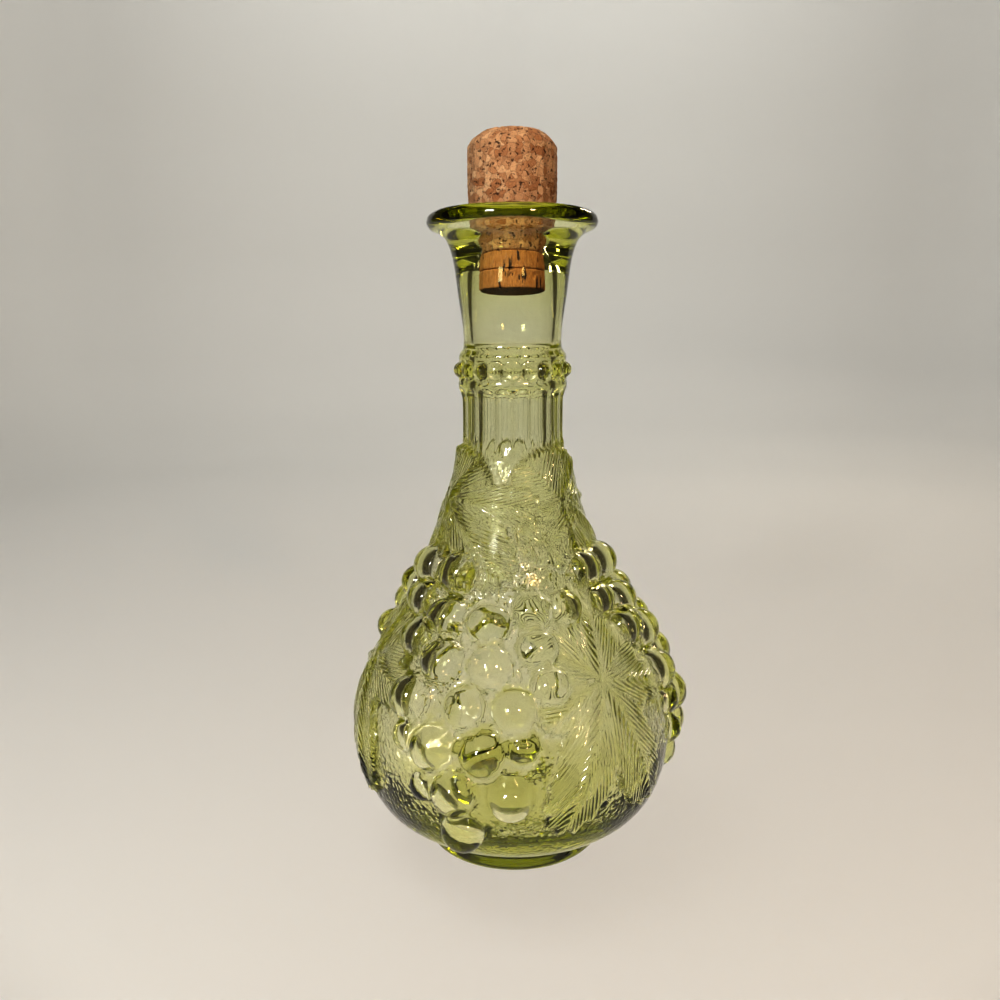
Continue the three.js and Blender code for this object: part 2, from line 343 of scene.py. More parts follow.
@dataclass(frozen=True)
class AgglomeratedCork:
    """Cork granules pressed and glued into a block, then turned.

    The granules show as tan and brown patches of a few millimetres, with dark glue lines and bark specks
    between them, all matt. Thresholds are shares of a noise's range.
    """

    granule_size: float = 2.2 * MM
    granule_bend: float = 0.8
    seam_width: float = 0.1
    seam_strength: float = 0.3
    speck_size: float = 1.1 * MM
    speck_start: float = 0.58
    speck_full: float = 0.66
    speck_strength: float = 0.9
    grain_size: float = 0.35 * MM
    grain_strength: float = 0.35
    relief: float = 0.25 * MM
    roughness: float = 0.82
    pale: str = "#e0b78a"
    deep: str = "#ad7547"
    speck: str = "#40220f"

    def material(self) -> bpy.types.Material:
        """Makes the cork.

        Returns:
            The material.
        """
        cork, add = blank_material("agglomerated_cork")
        coords = add("ShaderNodeTexCoord").outputs["Object"]
        fine = 1 / self.granule_size
        bend = add("ShaderNodeTexNoise", {"Vector": coords, "Scale": fine, "Detail": 2.0})
        shift = add("ShaderNodeVectorMath", {
            0: bend.outputs["Color"], "Scale": self.granule_bend * self.granule_size}, operation="SCALE")
        bent = add("ShaderNodeVectorMath", {0: coords, 1: shift.outputs[0]}, operation="ADD").outputs[0]
        cells = add("ShaderNodeTexVoronoi", {"Vector": bent, "Scale": fine})
        tone = add("ShaderNodeSeparateColor", {0: cells.outputs["Color"]}).outputs[0]
        granules = add("ShaderNodeMix", {"Factor": tone, "A": linear(self.deep), "B": linear(self.pale)},
                       data_type="RGBA").outputs["Result"]
        seams = add("ShaderNodeTexVoronoi", {"Vector": bent, "Scale": fine}, feature="DISTANCE_TO_EDGE")
        seam = add("ShaderNodeMapRange", {
            "Value": seams.outputs["Distance"], "From Min": 0.0, "From Max": self.seam_width,
            "To Min": self.seam_strength, "To Max": 0.0})
        dots = add("ShaderNodeTexNoise", {"Vector": coords, "Scale": 1 / self.speck_size, "Detail": 3.0})
        dot = add("ShaderNodeMapRange", {
            "Value": dots.outputs["Fac"], "From Min": self.speck_start, "From Max": self.speck_full,
            "To Min": 0.0, "To Max": self.speck_strength})
        dark = add("ShaderNodeMath", {0: seam.outputs[0], 1: dot.outputs[0]}, operation="MAXIMUM")
        grain = add("ShaderNodeTexNoise", {"Vector": coords, "Scale": 1 / self.grain_size, "Detail": 4.0})
        colour = add("ShaderNodeMix", {"Factor": dark.outputs[0], "A": granules, "B": linear(self.speck)},
                     data_type="RGBA")
        tinted = add("ShaderNodeMix", {
            "Factor": self.grain_strength, "A": colour.outputs["Result"], "B": grain.outputs["Fac"]},
            data_type="RGBA", blend_type="OVERLAY")
        height = add("ShaderNodeMath", {0: grain.outputs["Fac"], 1: dark.outputs[0]}, operation="SUBTRACT")
        bump = add("ShaderNodeBump", {"Height": height.outputs[0], "Distance": self.relief})
        surface = add("ShaderNodeBsdfPrincipled", {
            "Base Color": tinted.outputs["Result"], "Roughness": self.roughness, "Normal": bump.outputs[0]})
        add("ShaderNodeOutputMaterial", {"Surface": surface.outputs[0]})
        return cork


@dataclass(frozen=True)
class NaturalCork:
    """Discs cut from whole bark: even tan, with dark pores that run up and down, matt.

    Thresholds are shares of a noise's range.
    """

    pore_width: float = 1.4 * MM
    pore_stretch: float = 0.22
    pore_start: float = 0.62
    pore_full: float = 0.68
    grain_size: float = 0.5 * MM
    grain_start: float = 0.3
    grain_full: float = 0.7
    relief: float = 0.2 * MM
    roughness: float = 0.8
    pale: str = "#d8a05c"
    deep: str = "#b4783c"
    pore: str = "#2c1508"

    def material(self) -> bpy.types.Material:
        """Makes the cork.

        Returns:
            The material.
        """
        cork, add = blank_material("natural_cork")
        coords = add("ShaderNodeTexCoord").outputs["Object"]
        tall = add("ShaderNodeMapping", {"Vector": coords, "Scale": (1, 1, self.pore_stretch)}).outputs[0]
        pores = add("ShaderNodeTexNoise", {"Vector": tall, "Scale": 1 / self.pore_width, "Detail": 2.0})
        pore = add("ShaderNodeMapRange", {
            "Value": pores.outputs["Fac"], "From Min": self.pore_start, "From Max": self.pore_full})
        grain = add("ShaderNodeTexNoise", {"Vector": tall, "Scale": 1 / self.grain_size, "Detail": 3.0})
        share = add("ShaderNodeMapRange", {
            "Value": grain.outputs["Fac"], "From Min": self.grain_start, "From Max": self.grain_full})
        wood = add("ShaderNodeMix", {
            "Factor": share.outputs[0], "A": linear(self.deep), "B": linear(self.pale)}, data_type="RGBA")
        colour = add("ShaderNodeMix", {
            "Factor": pore.outputs[0], "A": wood.outputs["Result"], "B": linear(self.pore)},
            data_type="RGBA")
        height = add("ShaderNodeMath", {0: grain.outputs["Fac"], 1: pore.outputs[0]}, operation="SUBTRACT")
        bump = add("ShaderNodeBump", {"Height": height.outputs[0], "Distance": self.relief})
        surface = add("ShaderNodeBsdfPrincipled", {
            "Base Color": colour.outputs["Result"], "Roughness": self.roughness, "Normal": bump.outputs[0]})
        add("ShaderNodeOutputMaterial", {"Surface": surface.outputs[0]})
        return cork


@dataclass(frozen=True)
class SweepPaper:
    """Matt paper, rolled out as a seamless floor and backdrop.

    Pale round the bottle and behind it; beyond, painted shade stands for the dim room and gives glass dark
    edges.
    Sizes are in metres.
    """

    pale: str = "#e0e0db"
    # painted shade: the paper's colour beyond the pale wedge, standing for the dim room round the set
    dark: str = "#6f6b64"
    roughness: float = 0.9
    pale_width: float = 0.22
    spread_behind: float = 0.75
    spread_ahead: float = 1.3
    fade: float = 0.2

    def material(self) -> bpy.types.Material:
        """Makes the paper.

        Returns:
            The material.
        """
        paper, add = blank_material("sweep_paper")
        coords = add("ShaderNodeTexCoord").outputs["Object"]
        place = add("ShaderNodeSeparateXYZ", {0: coords})
        depth = place.outputs["Y"]
        aside = add("ShaderNodeMath", {0: place.outputs["X"]}, operation="ABSOLUTE").outputs[0]
        behind = add("ShaderNodeMath", {0: depth, 1: self.spread_behind}, operation="MULTIPLY").outputs[0]
        ahead = add("ShaderNodeMath", {0: depth, 1: self.spread_ahead}, operation="MULTIPLY").outputs[0]
        spread = add("ShaderNodeMath", {0: behind, 1: ahead}, operation="MINIMUM").outputs[0]
        beyond = add("ShaderNodeMath", {0: aside, 1: spread}, operation="SUBTRACT").outputs[0]
        # Painted shade: the colour darkens away from the pale wedge round the bottle and behind it
        shade = add("ShaderNodeMapRange", {
            "Value": beyond, "From Min": self.pale_width, "From Max": self.pale_width + self.fade},
            interpolation_type="SMOOTHSTEP")
        colour = add("ShaderNodeMix", {
            "Factor": shade.outputs[0], "A": linear(self.pale), "B": linear(self.dark)}, data_type="RGBA")
        surface = add("ShaderNodeBsdfPrincipled", {
            "Base Color": colour.outputs["Result"], "Roughness": self.roughness})
        add("ShaderNodeOutputMaterial", {"Surface": surface.outputs[0]})
        return paper


def spun(shell: bmesh.types.BMesh, line: list[bmesh.types.BMVert], columns: int) -> None:
    """Joins vertices into a line and spins it round the Z axis into a closed wall.

    The spin takes few steps and its rings are then divided, because a spin of many steps is slow.

    Args:
        shell: the mesh that holds the vertices.
        line: the outline's vertices, in order.
        columns: how many columns make the full turn, a multiple of RING_CUTS.
    """
    edges = [shell.edges.new(pair) for pair in zip(line, line[1:])]
    older = set(shell.edges) - set(edges)
    bmesh.ops.spin(shell, geom=line + edges, cent=(0, 0, 0), axis=(0, 0, 1), angle=FULL_TURN,
                   steps=columns // RING_CUTS, use_merge=True)
    rings = []
    for edge in shell.edges:
        low, high = (vert.co for vert in edge.verts)
        level = abs(low.z - high.z) < LEVEL and abs(low.xy.length - high.xy.length) < LEVEL
        if level and edge not in older:
            rings.append(edge)
    bmesh.ops.subdivide_edges(shell, edges=rings, cuts=RING_CUTS - 1, use_grid_fill=True)


def finished(name: str, shell: bmesh.types.BMesh, material: bpy.types.Material) -> bpy.types.Object:
    """Turns a mesh in progress into a smooth-shaded object at the origin.

    Args:
        name: the piece's name.
        shell: the mesh in progress, which is freed.
        material: its finish.

    Returns:
        The object, linked to the scene.
    """
    mesh = bpy.data.meshes.new(name)
    shell.to_mesh(mesh)
    shell.free()
    mesh.shade_smooth()
    mesh.materials.append(material)
    piece = bpy.data.objects.new(name, mesh)
    bpy.context.scene.collection.objects.link(piece)
    return piece


@dataclass
class Decanter:
    """The bottle: one hollow piece of glass. Sizes are in millimetres, angles in degrees."""

    finish: OliveGlass = field(default_factory=OliveGlass)
    waist_height: float = 5.2

    # Columns are a multiple of RING_CUTS, and of 4, so that one of them faces the front
    outer_columns: int = 380
    inner_columns: int = 180

    # Outlines: radius, height and the spacing of the rows
    outside: tuple[tuple[float, float, float], ...] = (
        (0, 1.6, 5), (14, 1.4, 5), (24, 0.7, 3), (27.4, 0.1, 1.2), (28.6, 0, 1), (29.8, 0.15, 0.9),
        (30.8, 0.8, 0.8), (31.2, 1.8, 0.9), (31.2, 3.6, 0.9), (30.8, 5.6, 0.9), (31.2, 6.7, 0.8),
        (32.6, 7.4, 1), (38, 9.8, 1.3), (43.5, 13.2, 1.4), (48.5, 18, 1.35), (52, 24.4, 1.3),
        (54.3, 33, 1.25), (55, 41, 1.25), (52.5, 56.6, 1.25), (42.9, 76.3, 1.25), (32.6, 92, 1.25),
        (25.4, 110, 1.25), (20.4, 126, 1.25), (17.5, 139, 1.3), (16.9, 145, 2.4), (16.9, 156, 2),
        (17.2, 158.6, 1), (18.2, 160.4, 0.9), (18.3, 161.8, 0.9), (17.7, 163.2, 0.9), (17.6, 166, 0.9),
        (17.7, 168.8, 0.9), (18.1, 170, 0.9), (17.6, 171.6, 0.9), (16.5, 173.2, 1), (16.3, 175.5, 1.6),
        (18.1, 191, 3), (19.4, 200.8, 2), (20.6, 205.4, 1.2), (21.8, 208, 1), (23.6, 209.9, 0.9),
        (25.9, 210.9, 0.8), (27.3, 211.7, 0.7), (28, 213.3, 0.7), (27.7, 214.9, 0.7), (26.6, 216.0, 0.8),
        (25.4, 216.6, 0.8), (24.5, 216.75, 0.8))
    inside: tuple[tuple[float, float, float], ...] = (
        (23.4, 216.5, 0.6), (21.4, 215.4, 0.8), (18, 213.1, 0.8), (15, 210.8, 0.8), (13.4, 209.4, 0.7),
        (12.5, 208, 0.8), (12.2, 206.4, 1), (12.8, 204, 1.6), (13.6, 198, 3), (13.8, 188, 4),
        (13.2, 175, 5), (12.9, 165, 5), (12.9, 150, 5), (14, 139, 3), (17.6, 125.4, 2.4), (23, 108.8, 2.1),
        (30.6, 90.6, 1.9), (40.7, 75.2, 1.9), (50, 56, 1.9), (52.4, 43, 1.9), (47, 25, 1.9),
        (36, 17.6, 2.2), (26, 14.9, 2.6), (12, 13.8, 4), (0, 13.6, 4))

    # Grapes of a cluster: height, radius, lift of the centre, and turns from the cluster's middle
    grape_rows: tuple[tuple[float, float, float, tuple[float, ...]], ...] = (
        (101, 6.9, 1.0, (-50, -21)), (91, 6.3, 1.0, (-45, 25, 42)), (87.5, 7.0, 1.5, (-20, 3)),
        (81, 6.5, 1.2, (-33, 25)), (76, 7.0, 1.6, (-15, 6)), (71, 6.2, 1.4, (29,)),
        (65, 6.8, 1.4, (-25, -2, 15)), (53, 7.1, 1.4, (-12, 5)), (54.5, 5.2, 0.2, (-23, 18)),
        (40, 6.6, 1.2, (-4, 14)), (40.5, 4.6, 0.2, (-15,)), (27.5, 6.6, 0.8, (-2,)))
    cluster_turns: tuple[float, ...] = (-15, 99, 222)
    grape_swell: float = 0.95
    grape_spread: float = 1.06
    grape_fillet: float = 0.3
    dimple_share: float = 0.9
    dimple_depth: float = 0.8
    dimple_power: float = 0.6
    dimple_fillet: float = 0.8

    # Grapes and beads, in shares of their radius: reach, fall of the skirt and edge of the cover
    boss_reach: float = 1.5
    boss_skirt: float = 3
    boss_cover: float = 1.08
    boss_fade: float = 0.12

    # Leaves: each leaf's lobes, by direction and length
    leaf_turns: tuple[float, ...] = (35, 150, 284)
    large_lobes: tuple[tuple[float, float], ...] = (
        (-113, 51), (-70, 48), (-14, 34), (81, 38), (145, 19), (-153, 27))
    upper_lobes: tuple[tuple[float, float], ...] = ((-4, 36), (-38, 44), (-84, 30), (-150, 22), (50, 16))
    small_lobes: tuple[tuple[float, float], ...] = ((20, 18), (-50, 13), (110, 9))
    large_leaf_height: float = 70.5
    large_leaf_lift: float = 2.0
    upper_leaf_turn: float = -105
    upper_leaf_height: float = 124
    small_leaf_turn: float = -16
    small_leaf_height: float = 112
    small_leaf_lift: float = 1.9
    lobe_spread: float = 32
    leaf_heart: float = 0.42
    leaf_edge: float = 1.0
    leaf_fillet: float = 0.4
    moat_depth: float = 0.8
    moat_place: float = 0.7
    moat_width: float = 0.9
    tooth_pitch: float = 5.5
    tooth_depth: float = 0.075
    vein_width: float = 1.25
    vein_rise: float = 1.15
    barb_angle: float = 22
    barb_pitch: float = 3.4
    barb_rise: float = 0.24
    stroke_length: float = 2.6
    stroke_lean: float = 2.1
    heart_size: float = 6
    leaf_dish: float = 0.45
    leaf_rim: float = 0.16

    # How the barbs swing along and beside a vein: size in turns, span and lean
    swing_along: tuple[float, float] = (0.25, 3.1)
    swing_aside: tuple[float, float, float] = (0.2, 1.7, 0.4)

    # Beads and flutes
    bead_count: int = 20
    bead_radius: float = 2.7
    bead_rise: float = 2.2
    collar_height: float = 166
    flute_count: int = 18
    flute_depth: float = 0.9
    flute_ridge: float = 0.35
    flute_low: float = 143
    flute_high: float = 156.5
    flute_round: float = 3.4
    flute_end: float = 1.4

    # Heights that the relief lies between, and how vertices settle over it
    relief_low: float = 14
    relief_high: float = 141
    neck_low: float = 133
    fade_low: float = 6
    fade_high: float = 5
    settle_low: float = 9
    settle_rounds: int = 20
    settle_ease: float = 0.5

    outer: Outline = field(init=False)
    inner: Outline = field(init=False)
    grapes: list[Boss] = field(init=False)
    beads: list[Boss] = field(init=False)
    leaves: list[Leaf] = field(init=False)

    def __post_init__(self) -> None:
        """Works out the outlines, the bosses and the leaves."""
        self.outer = Outline(self.outside)
        self.inner = Outline(self.inside)
        self.grapes = [
            self.boss(cluster + turn, height, self.grape_spread * radius, self.grape_swell * (radius + lift))
            for cluster in self.cluster_turns
            for height, radius, lift, turns in self.grape_rows
            for turn in turns]
        self.beads = [
            self.boss(360 * i / self.bead_count, self.collar_height, self.bead_radius, self.bead_rise)
            for i in range(self.bead_count)]
        self.leaves = [
            leaf
            for turn in self.leaf_turns
            for leaf in (
                Leaf(turn, self.large_leaf_height, self.large_leaf_lift, self.large_lobes),
                Leaf(turn + self.upper_leaf_turn, self.upper_leaf_height, self.small_leaf_lift,
                     self.upper_lobes),
                Leaf(turn + self.small_leaf_turn, self.small_leaf_height, self.small_leaf_lift,
                     self.small_lobes))]

    def boss(self, turn: float, height: float, radius: float, rise: float) -> Boss:
        """Sets a boss on the outside.

        Args:
            turn: degrees round from the front.
            height: height of its middle.
            radius: radius of its base.
            rise: height above the wall.

        Returns:
            The boss.
        """
        length = self.outer.length_at(height, self.waist_height)
        wall_radius, _, outwards, upwards = self.outer.place(np.array(length))
        angle = math.radians(turn)
        foot = around(angle, wall_radius, height)
        axis = around(angle, outwards, upwards)
        return Boss(tuple(foot), tuple(axis), radius, rise)

    def blade(self, leaf: Leaf, turn: np.ndarray, length: np.ndarray,
              radius: np.ndarray) -> tuple[np.ndarray, ...]:
        """Works out a leaf's relief.

        Args:
            leaf: the leaf.
            turn: each point's turn in radians.
            length: each point's length along the outline.
            radius: each point's distance from the axis.

        Returns:
            The height of the blade, its cover from 0 to 1, the run of its barbs in millimetres, and the
            depth of the groove round it from 0 to 1.
        """
        across = wrapped(turn - math.radians(leaf.turn)) * radius
        along = length - self.outer.length_at(leaf.height, self.waist_height)
        reach = np.hypot(across, along)
        direction = np.degrees(np.arctan2(along, across))
        aside = np.array([(direction - lobe + 540) % 360 - 180 for lobe, _ in leaf.lobes])
        longest = np.array([length for _, length in leaf.lobes])[:, None]
        edge = (longest * np.maximum(self.leaf_heart, 1 - (aside / self.lobe_spread) ** 2)).max(axis=0)
        tooth = np.abs(2 * ((direction / self.tooth_pitch) % 1) - 1)
        edge = edge * (1 - self.tooth_depth * tooth)
        cover = smooth_step((edge - reach) / self.leaf_edge)
        nearest = np.take_along_axis(aside, np.abs(aside).argmin(axis=0)[None], axis=0)[0]
        beside = np.abs(reach * np.sin(np.radians(nearest)))
        onwards = reach * np.cos(np.radians(nearest))
        tilt = math.radians(self.barb_angle)
        barb = onwards * math.sin(tilt) - beside * math.cos(tilt)
        stroke = np.sin(onwards / self.stroke_length + self.stroke_lean * nearest / self.lobe_spread)
        size, span = self.swing_along
        swing = size * np.sin(onwards / span + leaf.turn)
        size, span, lean = self.swing_aside
        swing += size * np.sin(beside / span + lean * onwards)
        vein = np.exp(-((beside / self.vein_width) ** 2))
        ridges = np.cos(FULL_TURN * (barb / self.barb_pitch + swing)) * (1 + stroke) / 2
        ridges = ridges * smooth_step(reach / self.heart_size) * (1 - vein)
        inwards = np.clip(1 - reach / edge, 0, 1)
        lines = (self.vein_rise * vein + self.barb_rise * ridges) * np.minimum(inwards / self.leaf_rim, 1)
        moat = np.exp(-(((reach - edge) / self.moat_width - self.moat_place) ** 2)) * (1 - cover)
        return cover * (leaf.lift * (1 - self.leaf_dish * inwards) + lines), cover, barb, moat

    def flutes(self, turn: np.ndarray, height: np.ndarray) -> np.ndarray:
        """Works out the neck's scooped flutes, which have round ends.

        Args:
            turn: each vertex's turn in radians.
            height: each vertex's height.

        Returns:
            The rise of the ridges between the flutes, less the depth of the scoops.
        """
        aside = 2 * ((turn * self.flute_count / FULL_TURN) % 1) - 1
        below = np.maximum(self.flute_low - height, 0) / self.flute_round
        above = np.maximum(height - self.flute_high, 0) / self.flute_round
        beyond = np.maximum(below, above)
        scoop = np.sqrt(np.maximum(1 - aside ** 2 - beyond ** 2, 0))
        inside = smooth_step(self.flute_end - beyond)
        return inside * self.flute_ridge - self.flute_depth * scoop

    def relief(self, turn: np.ndarray, length: np.ndarray) -> dict[str, np.ndarray]:
        """Works out the outside's relief.

        Args:
            turn: each vertex's turn in radians.
            length: each vertex's length along the outline.

        Returns:
            The rise above the turned wall, and the leaf, barb and ground values that the finish reads.
        """
        radius, height, _, _ = self.outer.place(length)
        points = around(turn, radius, height)
        rise = np.zeros_like(turn)
        round_cover = np.zeros_like(turn)
        for boss in self.grapes + self.beads:
            share = boss.away(points)
            near = share < self.boss_reach
            cap = boss.rise * np.sqrt(np.maximum(1 - share[near] ** 2, 0))
            skirt = self.boss_skirt * boss.rise * np.maximum(share[near] - 1, 0)
            rise[near] = soft_max(rise[near], cap - skirt, self.grape_fillet)
            cover = smooth_step((self.boss_cover - share[near]) / self.boss_fade)
            round_cover[near] = np.maximum(round_cover[near], cover)
        leaf_cover = np.zeros_like(turn)
        barb = np.zeros_like(turn)
        groove = np.zeros_like(turn)
        outside = length > self.outer.length_at(self.relief_low, self.waist_height)
        for leaf in self.leaves:
            blade, cover, run, moat = self.blade(leaf, turn, length, radius)
            cover = cover * outside
            groove = np.maximum(groove, moat * outside)
            shows = (cover > leaf_cover) & (blade > rise)
            barb = np.where(shows, run, barb)
            leaf_cover = np.where(shows, cover, leaf_cover)
            rise = soft_max(rise, np.where(cover > 0, blade, -self.leaf_fillet), self.leaf_fillet)
        rise = rise - self.moat_depth * groove * (1 - round_cover) * (1 - leaf_cover)
        above_foot = smooth_step((height - self.relief_low) / self.fade_low)
        below_neck = smooth_step((self.relief_high - height) / self.fade_high)
        zone = above_foot * below_neck * outside
        neck = (height > self.neck_low) & (height < self.collar_height) & outside
        rise = np.where(neck, rise + self.flutes(turn, height), rise)
        return {"rise": rise, "leaf": leaf_cover, "barb": barb,
                "ground": zone * (1 - leaf_cover) * (1 - round_cover)}

    def dimples(self, turn: np.ndarray, length: np.ndarray) -> np.ndarray:
        """Works out the inner wall's soft dimples behind the grapes, where the glass followed the mould.

        Args:
            turn: each vertex's turn in radians.
            length: each vertex's length along the inner outline.

        Returns:
            The depth of the dimples.
        """
        radius, height, _, _ = self.inner.place(length)
        points = around(turn, radius, height)
        depth = np.zeros_like(turn)
        for grape in self.grapes:
            share = grape.away(points) / self.dimple_share
            near = share < 1
            bell = self.dimple_depth * grape.rise * (1 - share[near] ** 2) ** self.dimple_power
            depth[near] = soft_max(depth[near], bell, self.dimple_fillet)
        return depth

    def turn_wall(self, shell: bmesh.types.BMesh, face: Wall) -> None:
        """Turns one face of the glass, with each vertex tagged by its face and its row.

        Args:
            shell: the mesh that takes the face.
            face: which face.
        """
        outside = face is Wall.OUTSIDE
        outline = self.outer if outside else self.inner
        row_tag, face_tag = shell.verts.layers.int["row"], shell.verts.layers.int["face"]
        radius, height, _, _ = outline.place(outline.rows())
        line = []
        for row, place in enumerate(zip(radius, height)):
            vert = shell.verts.new((place[0] * MM, 0, place[1] * MM))
            vert[row_tag] = row
            vert[face_tag] = face.value
            line.append(vert)
        spun(shell, line, self.outer_columns if outside else self.inner_columns)

    def turned_shell(self) -> bmesh.types.BMesh:
        """Turns both faces of the glass and joins them at the mouth.

        Returns:
            One closed wall, with its row and face tags.
        """
        shell = bmesh.new()
        row_tag = shell.verts.layers.int.new("row")
        face_tag = shell.verts.layers.int.new("face")
        for face in Wall:
            self.turn_wall(shell, face)
        outer_end, inner_end = len(self.outer.rows()) - 1, len(self.inner.rows()) - 1
        rings = {(face.value, row): [] for face in Wall for row in (0, outer_end, inner_end)}
        for vert in shell.verts:
            rings.get((vert[face_tag], vert[row_tag]), []).append(vert)
        outer_pole, inner_pole = rings[Wall.OUTSIDE.value, 0], rings[Wall.INSIDE.value, inner_end]
        rim = set(rings[Wall.OUTSIDE.value, outer_end]) | set(rings[Wall.INSIDE.value, 0])
        rim_edges = [edge for edge in shell.edges if rim.issuperset(edge.verts)]
        bmesh.ops.bridge_loops(shell, edges=rim_edges)
        bmesh.ops.remove_doubles(shell, verts=outer_pole + inner_pole, dist=MERGE)
        bmesh.ops.recalc_face_normals(shell, faces=shell.faces)
        return shell

    def surface(self, turn: np.ndarray, length: np.ndarray) -> np.ndarray:
        """Finds points of the outside, with its relief.

        Args:
            turn: each point's turn in radians.
            length: each point's length along the outline.

        Returns:
            The points in millimetres.
        """
        radius, height, outwards, upwards = self.outer.place(length)
        rise = self.relief(turn.ravel(), length.ravel())["rise"].reshape(turn.shape)
        return around(turn, radius + rise * outwards, height + rise * upwards)

    def settled(self, turn: np.ndarray, length: np.ndarray) -> tuple[np.ndarray, np.ndarray]:
        """Slides vertices over the outside until steep rims have their share of them.

        Each vertex moves towards the neighbours from which the relief has stretched it most.

        Args:
            turn: the turn of each row and column.
            length: the outline's length at each row and column.

        Returns:
            The new turns and lengths; the first and last rows stay.
        """
        turn, length = turn.copy(), length.copy()
        for _ in range(self.settle_rounds):
            points = self.surface(turn, length)
            radius, height, _, _ = self.outer.place(length)
            plain = around(turn, radius, height)
            weight, sideways, upwards = np.zeros_like(turn), np.zeros_like(turn), np.zeros_like(turn)
            for step, axis in ((1, 1), (-1, 1), (1, 0), (-1, 0)):
                stretched = np.linalg.norm(np.roll(points, step, axis) - points, axis=-1)
                pull = stretched / np.linalg.norm(np.roll(plain, step, axis) - plain, axis=-1)
                weight += pull
                sideways += pull * wrapped(np.roll(turn, step, axis) - turn)
                upwards += pull * (np.roll(length, step, axis) - length)
            turn[1:-1] += self.settle_ease * (sideways / weight)[1:-1]
            length[1:-1] += self.settle_ease * (upwards / weight)[1:-1]
        return turn, length

    def dress_outside(self, places: np.ndarray, grid: np.ndarray) -> dict[str, np.ndarray]:
        """Sets the outside's vertices on the relief.

        Args:
            places: every vertex's place in metres, changed here.
            grid: the outside's vertices by row and column.

        Returns:
            The leaf, barb and ground values of every vertex.
        """
        rows, columns = grid.shape
        turn = np.tile(np.arange(columns) * FULL_TURN / columns, (rows, 1))
        length = np.tile(self.outer.rows()[:, None], (1, columns))
        low = int(np.searchsorted(length[:, 0], self.outer.length_at(self.settle_low, self.waist_height)))
        high = int(np.searchsorted(length[:, 0], self.outer.length_at(self.relief_high, self.waist_height)))
        turn[low:high], length[low:high] = self.settled(turn[low:high], length[low:high])
        relief = self.relief(turn.ravel(), length.ravel())
        places[grid.ravel()] = self.surface(turn, length).reshape(-1, 3) * MM
        values = {}
        for name in ("leaf", "barb", "ground"):
            values[name] = np.zeros(len(places), np.float32)
            values[name][grid.ravel()] = relief[name]
        return values

    def dress_inside(self, places: np.ndarray, grid: np.ndarray) -> None:
        """Sets the inside's vertices on the dimpled wall.

        Args:
            places: every vertex's place in metres, changed here.
            grid: the inside's vertices by row and column.
        """
        rows, columns = grid.shape
        turn = np.tile(np.arange(columns) * FULL_TURN / columns, rows)
        length = np.repeat(self.inner.rows(), columns)
        radius, height, outwards, upwards = self.inner.place(length)
        depth = self.dimples(turn, length)
        places[grid.ravel()] = around(turn, radius - depth * outwards, height - depth * upwards) * MM

    def build(self) -> list[bpy.types.Object]:
        """Makes the glass.

        Returns:
            The one piece of glass.
        """
        piece = finished("pressed_glass_bottle", self.turned_shell(), self.finish.material())
        mesh = piece.data
        count = len(mesh.vertices)
        flat = np.empty(count * 3, np.float32)
        mesh.vertices.foreach_get("co", flat)
        places = flat.reshape(-1, 3).astype(float)
        tags = {}
        for name in ("row", "face"):
            tags[name] = np.empty(count, np.int32)
            mesh.attributes[name].data.foreach_get("value", tags[name])
            mesh.attributes.remove(mesh.attributes[name])
        turn = np.arctan2(places[:, 0], -places[:, 1])
        values = {}
        for face, outline, columns in ((Wall.OUTSIDE, self.outer, self.outer_columns),
                                       (Wall.INSIDE, self.inner, self.inner_columns)):
            shown = np.flatnonzero(tags["face"] == face.value)
            column = np.rint(turn[shown] * columns / FULL_TURN).astype(int) % columns
            pole = shown[np.hypot(places[shown, 0], places[shown, 1]) < MERGE]
            grid = np.full((len(outline.rows()), columns), pole[0])
            grid[tags["row"][shown], column] = shown
            grid[tags["row"][pole[0]]] = pole[0]
            if face is Wall.OUTSIDE:
                values = self.dress_outside(places, grid)
            else:
                self.dress_inside(places, grid)
        mesh.vertices.foreach_set("co", places.astype(np.float32).ravel())
        for name, field_values in values.items():
            mesh.attributes.new(name, "FLOAT", "POINT").data.foreach_set("value", field_values)
        mesh.update()
        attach(piece, "root")
        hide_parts("decanter_glass")
        return [piece]


